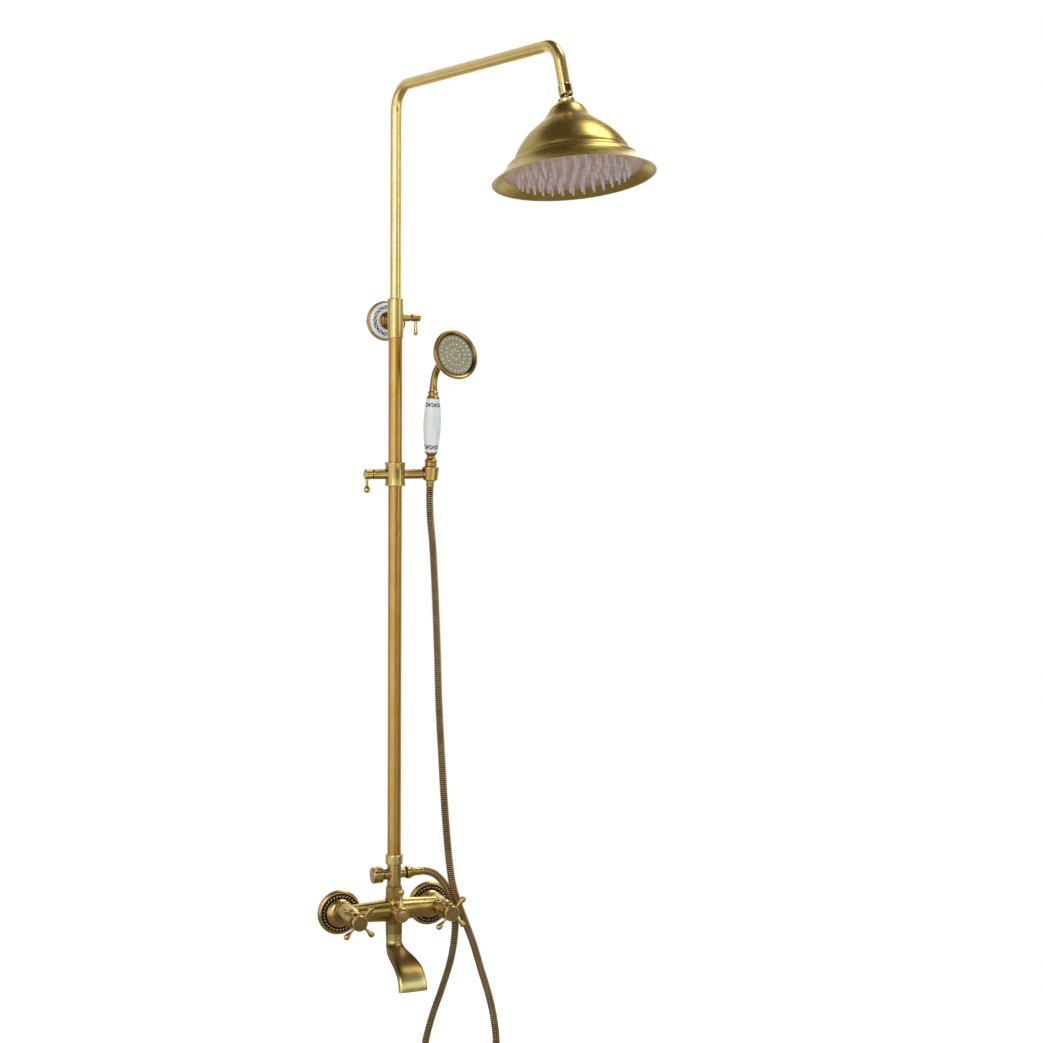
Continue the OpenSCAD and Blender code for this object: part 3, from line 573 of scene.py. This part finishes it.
def plate_finish():
    """The spray plate: pale pinkish beige, with fine turning marks."""
    g = Graph("spray_plate")
    x, y, z = g.split(g.place(HEAD_AT, HEAD_TURN))
    turned = g.join(g.math("MULTIPLY", g.length(x, y), LINE_STRETCH), 0.0, g.math("MULTIPLY", z, 4))
    marks = g.noise(turned, 30, 3)
    cloud = g.noise(g.place(), 30, 3)
    tone = g.mix(g.ramp(cloud, 0.35, 0.65), (0.70, 0.50, 0.40), (0.80, 0.59, 0.48))
    tone = g.mix(g.math("MULTIPLY", g.ramp(marks, 0.4, 0.7), 0.3), tone, (0.95, 0.76, 0.62))
    g.link(tone, "Base Color")
    g.link(g.ramp(marks, 0.3, 0.7, 0.3, 0.44), "Roughness")
    g.link(g.bump(marks, 0.06, 0.0003), "Normal")
    g.fix(Metallic=0.5)
    return g.material


def handset_plate_finish():
    """The hand shower's plate: satin olive beige."""
    g = Graph("handset_plate")
    cloud = g.noise(g.place(), 40, 2)
    fine = g.noise(g.place(), 700, 2)
    tone = g.mix(g.ramp(cloud, 0.3, 0.7), (0.40, 0.36, 0.22), (0.46, 0.42, 0.27))
    tone = g.mix(g.math("MULTIPLY", g.ramp(fine, 0.45, 0.7), 0.15), tone, (0.52, 0.47, 0.3))
    g.link(tone, "Base Color")
    g.link(g.ramp(fine, 0.3, 0.7, 0.36, 0.46), "Roughness")
    g.link(g.bump(fine, 0.04, 0.0001), "Normal")
    g.fix(Metallic=0.6)
    return g.material


NAVY, TEAL, MAUVE = (0.006, 0.012, 0.06), (0.012, 0.085, 0.11), (0.32, 0.06, 0.07)
GLAZE, GLAZE_CLOUD = (0.95, 0.99, 1.0), (0.88, 0.955, 0.99)
PETALS = 5
# Flowers round the body, and the low and high edge of each painted band
HANDLE_BANDS = ((8, 0.0375, 0.0465), (8, 0.1030, 0.1115))
FLANGE_BAND = (14, 0.0175, 0.0245)


def blossoms(g, tone, turn, height, count, low, high):
    """A band of small flowers on a wavy stem with leaves, painted round the body.

    turn is the angle round the body in radians, height runs across the band, from low to high."""
    middle, half = (low + high) / 2, (high - low) / 2
    v = g.math("DIVIDE", g.math("SUBTRACT", height, middle), half)
    cells = g.math("MULTIPLY", turn, count / (2 * math.pi))
    u = g.math("MULTIPLY", g.math("SUBTRACT", g.math("FRACT", cells), 0.5), 2.0)
    reach = g.length(u, v)
    petals = g.math("COSINE", g.math("MULTIPLY", g.math("ARCTAN2", v, u), float(PETALS)))
    edge = g.math("ADD", g.math("MULTIPLY", petals, 0.2), 0.58)
    flower = g.math("MULTIPLY", g.ramp(g.math("SUBTRACT", edge, reach), 0.0, 0.1),
                    g.ramp(reach, 0.1, 0.2))
    heart = g.ramp(reach, 0.2, 0.1)
    stem_line = g.math("MULTIPLY", g.math("SINE", g.math("MULTIPLY", u, math.pi)), 0.5)
    stem_off = g.math("ABSOLUTE", g.math("SUBTRACT", v, stem_line))
    stem = g.math("MULTIPLY", g.ramp(stem_off, 0.24, 0.12), g.ramp(reach, 0.6, 0.7))
    leaf_u = g.math("SUBTRACT", g.math("ABSOLUTE", u), 0.84)
    leaf_v = g.math("SUBTRACT", g.math("ABSOLUTE", v), 0.56)
    leaf = g.math("ADD", g.math("MULTIPLY", g.math("MULTIPLY", leaf_u, leaf_u), 6.0),
                  g.math("MULTIPLY", g.math("MULTIPLY", leaf_v, leaf_v), 9.0))
    leaves = g.ramp(leaf, 0.5, 0.3)
    wear = g.ramp(g.noise(g.place(), 900, 2), 0.3, 0.42, 0.7, 1.0)
    tone = g.mix(g.math("MULTIPLY", leaves, wear), tone, TEAL)
    tone = g.mix(g.math("MULTIPLY", stem, wear), tone, NAVY)
    tone = g.mix(g.math("MULTIPLY", flower, wear), tone, NAVY)
    return g.mix(heart, tone, MAUVE)


def glaze(name, paint):
    """White glazed ceramic with a slightly uneven glaze and a painted band."""
    g = Graph(name)
    cloud = g.noise(g.place(), 45, 3)
    tone = g.mix(g.ramp(cloud, 0.35, 0.65), GLAZE, GLAZE_CLOUD)
    g.link(paint(g, tone), "Base Color")
    g.link(g.ramp(cloud, 0.3, 0.7, 0.07, 0.13), "Roughness")
    g.link(g.bump(cloud, 0.12, 0.0006), "Normal")
    g.fix(IOR=1.52, Coat_Weight=0.5, Coat_Roughness=0.04)
    return g.material


def paint_handle(g, tone):
    x, y, z = g.split(g.place(HOLDER_AT, HOLDER_TURN))
    turn = g.math("ARCTAN2", y, x)
    for band in HANDLE_BANDS:
        tone = blossoms(g, tone, turn, z, *band)
    return tone


def paint_flange(g, tone):
    x, _, z = g.split(g.place(BRACKET_AT))
    return blossoms(g, tone, g.math("ARCTAN2", z, x), g.length(x, z), *FLANGE_BAND)


STEEL = grained("satin_steel", (300, 3), ((0.46, 0.45, 0.44), (0.66, 0.65, 0.63)), (0.2, 0.36),
                (0.08, 0.0003), Metallic=1.0)
RUBBER = grained("black_rubber", (700, 3), ((0.008, 0.008, 0.008), (0.03, 0.028, 0.026)), (0.42, 0.6),
                 (0.15, 0.0002))
NYLON = grained("nylon", (260, 4), ((0.74, 0.72, 0.66), (0.86, 0.85, 0.8)), (0.34, 0.48),
                (0.06, 0.0002), Subsurface_Weight=0.15, Subsurface_Scale=0.003)
HOSE = hose_metal()
NOZZLES = silicone("rain_nozzle_silicone", (0.78, 0.70, 0.74), 0.1)
CLEAR_NOZZLES = silicone("handset_nozzle_silicone", (0.82, 0.86, 0.88), 0.15)
PLATE, HANDSET_PLATE = plate_finish(), handset_plate_finish()
HANDLE_CERAMIC = glaze("handle_ceramic", paint_handle)
FLANGE_CERAMIC = glaze("flange_ceramic", paint_flange)

FINISHES = {
    ANTIQUE: ("riser_nut", "hot_union", "cold_union", "hot_union_nut", "cold_union_nut", "mixer_body",
              "hot_bonnet", "cold_bonnet", "diverter_bonnet", "selector_body", "selector_knob",
              "hose_end_nut", "hose_end_ferrule", "slider_sleeve", "holder", "hose_cone_nut",
              "hose_top_ferrule"),
    ROSETTE: ("hot_rosette", "cold_rosette", "wall_flange"),
    ROPE: ("hot_rope_ring", "cold_rope_ring"),
    SPOUT: ("bath_spout",),
    PALE: ("spout_collar", "riser_collar", "riser_sleeve", "diverter_lever"),
    POLISHED: ("ball_nut", "head_nut", "swivel_ball"),
    LOWER_PIPE_PAINTED_SHADE: ("lower_riser",),
    UPPER_PIPE_PAINTED_LIGHT: ("upper_riser",),
    BELL: ("bell_shell",),
    HANDLE: ("hot_handle", "cold_handle", "riser_lock_lever", "slider_lock_lever"),
    HEAD: ("lower_ferrule", "handset_neck", "handset_head"),
    RED_BRASS: ("flange_boss",),
    DISC: ("hot_disc", "cold_disc"),
    STEEL: ("hot_cartridge", "cold_cartridge", "hot_stem", "cold_stem", "flange_screws"),
    RUBBER: ("outlet_seal",),
    NYLON: ("guide_bush", "ball_seat", "slider_liner", "holder_insert"),
    NOZZLES: ("head_nozzles",),
    CLEAR_NOZZLES: ("handset_nozzles",),
    PLATE: ("spray_plate",),
    HANDSET_PLATE: ("handset_plate",),
    HANDLE_CERAMIC: ("ceramic_handle",),
    FLANGE_CERAMIC: ("flange_ceramic",),
    HOSE: ("shower_hose",),
}


def dress(piece, material):
    piece.data.materials.clear()
    piece.data.materials.append(material)


for material, names in FINISHES.items():
    for name in names:
        dress(NODES[name], material)
for piece in hose_pieces:
    dress(piece, HOSE)
for piece in rope_rings:
    dress(piece, ROPE)
dress(spout_piece, SPOUT)


# ---------------------------------------------------------------- floor, light and background
FLOOR_Z, FLOOR_R, FLOOR_GLOW = -0.36, 1.6, 0.6
# The floor fades out between these distances from its middle
FLOOR_FADE = (0.5, FLOOR_R * 0.97)
FLOOR_SIDES = 96
FLOOR_IN_REFLECTIONS = (0.3, 0.28, 0.25, 1)


def make_floor():
    """A round pale floor that fades out into the white background, and is dimmer in reflections."""
    rim = oval(Vector((0, 0, FLOOR_Z)), Vector((FLOOR_R, 0, 0)), Vector((0, FLOOR_R, 0)), FLOOR_SIDES)
    floor = new_piece("floor", rim, [tuple(range(FLOOR_SIDES))])
    g = Graph("pale_floor")
    x, y, _ = g.split(g.place())
    radius = g.length(x, y)
    grain = g.noise(g.place(), 90, 3)
    g.link(g.mix(g.ramp(grain, 0.35, 0.7), (0.88, 0.88, 0.875), (0.9, 0.9, 0.895)), "Base Color")
    g.link(g.ramp(radius, *FLOOR_FADE, 1.0, 0.0), "Alpha")
    g.fix(Roughness=0.8, Emission_Color=(1, 1, 1, 1), Emission_Strength=FLOOR_GLOW)
    dim = g.node("ShaderNodeBsdfDiffuse")
    dim.inputs["Color"].default_value = FLOOR_IN_REFLECTIONS
    seen = g.node("ShaderNodeMixShader")
    g.put(g.node("ShaderNodeLightPath").outputs["Is Camera Ray"], seen.inputs[0])
    g.put(dim.outputs[0], seen.inputs[1])
    g.put(g.shader.outputs[0], seen.inputs[2])
    g.put(seen.outputs[0], g.tree.nodes["Material Output"].inputs["Surface"])
    dress(floor, g.material)


def soft_light(name, at, width, height, power, tint):
    data = bpy.data.lights.new(name, "AREA")
    data.shape, data.size, data.size_y = "RECTANGLE", width, height
    data.energy, data.color = power, tint
    lamp = bpy.data.objects.new(name, data)
    lamp.location = at
    lamp.rotation_mode = "QUATERNION"
    lamp.rotation_quaternion = (Vector(at) - LIGHT_TARGET).to_track_quat("Z", "Y")
    bpy.context.scene.collection.objects.link(lamp)


def make_world():
    """White where it is seen directly. For reflections, a dim room with soft panels of light in it."""
    world = bpy.data.worlds.new("studio")
    world.use_nodes = True
    bpy.context.scene.world = world
    tree = world.node_tree
    new, link = tree.nodes.new, tree.links.new

    def math_node(operation, a, b=0.0):
        made = new("ShaderNodeMath")
        made.operation = operation
        for value, socket in zip((a, b), made.inputs):
            if isinstance(value, bpy.types.NodeSocket):
                link(value, socket)
            else:
                socket.default_value = value
        return made.outputs[0]

    def fade(value, low, high, top=1.0):
        made = new("ShaderNodeMapRange")
        made.interpolation_type = "SMOOTHSTEP"
        link(value, made.inputs[0])
        for number, socket in zip((low, high, 0.0, top), made.inputs[1:5]):
            socket.default_value = number
        return made.outputs[0]

    def round_fade(cosine, half_width, edge, strength):
        """Light that fades out at the edge, from the cosine of the angle off its middle."""
        inner, outer = (math.cos(math.radians(half_width * share)) for share in edge)
        return fade(cosine, outer, inner, strength)

    split = new("ShaderNodeSeparateXYZ")
    link(new("ShaderNodeTexCoord").outputs["Generated"], split.inputs[0])
    x, y, z = split.outputs
    around = math_node("ARCTAN2", x, math_node("MULTIPLY", y, -1.0))
    room = math_node("ADD", fade(z, *BELOW), ROOM)
    for centre, width, (low, high), strength in PANELS:
        turn = math_node("COSINE", math_node("SUBTRACT", around, math.radians(centre)))
        side = round_fade(turn, width, PANEL_EDGE, strength)
        upright = math_node("MULTIPLY", fade(z, low - PANEL_SOFT, low + PANEL_SOFT),
                            fade(z, high + PANEL_SOFT, high - PANEL_SOFT))
        room = math_node("ADD", room, math_node("MULTIPLY", side, upright))
    for spot, reach, strength in SPOTS:
        toward = Vector(spot).normalized()
        near = math_node("ADD", math_node("MULTIPLY", x, toward.x), math_node("MULTIPLY", y, toward.y))
        near = math_node("ADD", near, math_node("MULTIPLY", z, toward.z))
        room = math_node("ADD", room, round_fade(near, reach, SPOT_EDGE, strength))
    seen, lit = new("ShaderNodeBackground"), new("ShaderNodeBackground")
    seen.inputs["Color"].default_value = (1, 1, 1, 1)
    warmth = new("ShaderNodeMix")
    warmth.data_type = "RGBA"
    link(fade(room, *TINT_RANGE), warmth.inputs[0])
    warmth.inputs[6].default_value = DIM_TINT
    warmth.inputs[7].default_value = BRIGHT_TINT
    link(warmth.outputs[2], lit.inputs["Color"])
    link(room, lit.inputs["Strength"])
    mix = new("ShaderNodeMixShader")
    link(new("ShaderNodeLightPath").outputs["Is Camera Ray"], mix.inputs[0])
    link(lit.outputs[0], mix.inputs[1])
    link(seen.outputs[0], mix.inputs[2])
    link(mix.outputs[0], tree.nodes["World Output"].inputs["Surface"])


# The dim room, the light from below the horizon, and the tint from the dimmest to the brightest part
ROOM, BELOW = 0.075, (-0.12, -0.5, 0.25)
DIM_TINT, BRIGHT_TINT, TINT_RANGE = (1, 0.64, 0.36, 1), (0.98, 1, 0.96, 1), (0.08, 0.6)
# Share of the half width at which a panel's or a spot's light starts to fade, and where it ends
PANEL_EDGE, SPOT_EDGE, PANEL_SOFT = (0.65, 1.35), (0.6, 1.4), 0.08
# Soft panels: direction round the object, half width, heights (the sine of the angle up), strength
PANELS = ((-66, 46, (-0.7, 0.45), 0.84), (8, 32, (0.09, 0.5), 0.85), (20, 24, (-0.6, -0.22), 1.25),
          (105, 26, (-0.5, 0.5), 0.55), (165, 24, (-0.4, 0.7), 0.8), (-150, 16, (-0.4, 0.7), 0.6))
# Round soft lights: direction, half width, strength
SPOTS = (((0.5, 0.0, 0.866), 15, 4.4), ((-0.75, 0.35, 0.6), 14, 0.4))

LIGHT_TARGET = Vector((0, -0.1, 0.5))
# Each light: name, place, width, height, watts, tint
LIGHTS = (("key", (-2.3, -2.4, 2.1), 1.5, 2.2, 24, (1, 0.99, 0.97)),
          ("fill", (2.3, -2.2, 1.2), 1.2, 2.2, 12, (0.85, 0.95, 1)),
          ("back", (1.6, 2.4, 1.9), 1.4, 2.0, 18, (1, 1, 1)))

make_floor()
make_world()
for light in LIGHTS:
    soft_light(*light)
bpy.context.scene.view_settings.view_transform = "Standard"
